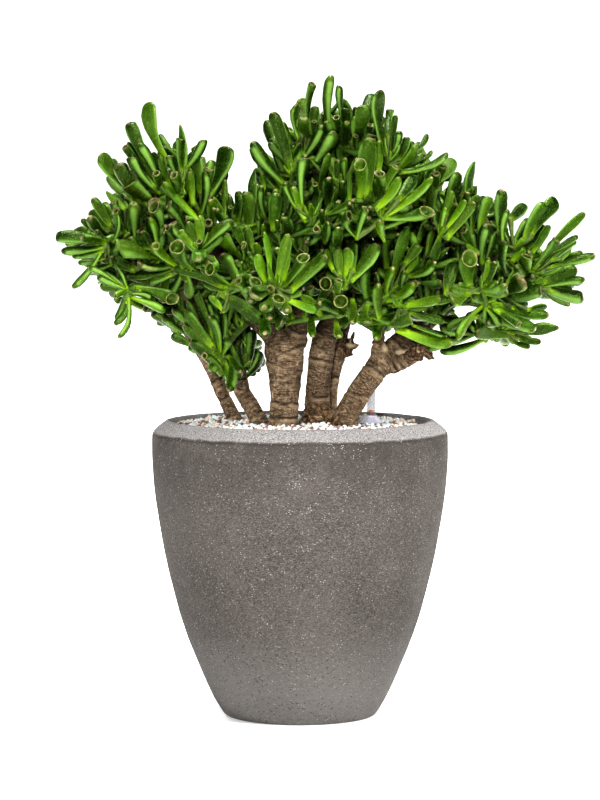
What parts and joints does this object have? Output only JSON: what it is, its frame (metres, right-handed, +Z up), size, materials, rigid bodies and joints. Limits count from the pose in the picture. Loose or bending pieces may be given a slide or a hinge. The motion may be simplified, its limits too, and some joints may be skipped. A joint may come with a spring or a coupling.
{
  "type": "potted horntree jade plant",
  "caption": "Multi-stemmed jade succulent with tubular finger leaves in a round stone-look pot filled with mineral granules, with a water-level indicator.",
  "frame": {"origin": "centre of the flat underside of the pot", "axes": "+Z up along the pot's axis; -Y towards the front of the picture; +X to its right"},
  "size_m": [0.6607, 0.4265, 0.7987],
  "materials": {
    "pot_stone": "matt grey cast stone look, fine speckle, lighter worn rim bevel",
    "granules": "loose matt mineral granules, cream, pale blue-grey, brown and dark grey",
    "bark": "matt brown bark with dark ring scars and fine cracks",
    "leaf": "waxy green succulent leaf, brighter at the growing points, pale bloom, reddish-brown hollow tips",
    "clear_plastic": "clear moulded plastic",
    "dark_plastic": "dark grey moulded plastic",
    "float_red": "orange-red float marker"
  },
  "bodies": {
    "planter": {"granules": "granules", "indicator_collar": "clear_plastic", "indicator_guide_tube": "dark_plastic", "indicator_sight_tube": "clear_plastic", "leafy_shoot_01": "leaf", "leafy_shoot_02": "leaf", "leafy_shoot_03": "leaf", "leafy_shoot_04": "leaf", "leafy_shoot_05": "leaf", "leafy_shoot_06": "leaf", "leafy_shoot_07": "leaf", "leafy_shoot_08": "leaf", "leafy_shoot_09": "leaf", "leafy_shoot_10": "leaf", "leafy_shoot_11": "leaf", "leafy_shoot_12": "leaf", "leafy_shoot_13": "leaf", "leafy_shoot_14": "leaf", "leafy_shoot_15": "leaf", "leafy_shoot_16": "leaf", "leafy_shoot_17": "leaf", "leafy_shoot_18": "leaf", "leafy_shoot_19": "leaf", "leafy_shoot_20": "leaf", "leafy_shoot_21": "leaf", "leafy_shoot_22": "leaf", "leafy_shoot_23": "leaf", "leafy_shoot_24": "leaf", "leafy_shoot_25": "leaf", "leafy_shoot_26": "leaf", "leafy_shoot_27": "leaf", "leafy_shoot_28": "leaf", "leafy_shoot_29": "leaf", "leafy_shoot_30": "leaf", "leafy_shoot_31": "leaf", "leafy_shoot_32": "leaf", "leafy_shoot_33": "leaf", "leafy_shoot_34": "leaf", "leafy_shoot_35": "leaf", "leafy_shoot_36": "leaf", "leafy_shoot_37": "leaf", "leafy_shoot_38": "leaf", "leafy_shoot_39": "leaf", "pot": "pot_stone", "trunk_centre": "bark", "trunk_centre_left": "bark", "trunk_left": "bark", "trunk_left_rear": "bark", "trunk_rear": "bark", "trunk_right": "bark"},
    "float": {"float_and_rod": "dark_plastic", "float_tip": "float_red"}
  },
  "joints": [
    {"name": "float_slide", "type": "slide", "parent": "planter", "child": "float", "axis": [0, 0, 1], "range_m": [0, 0.03]}
  ]
}
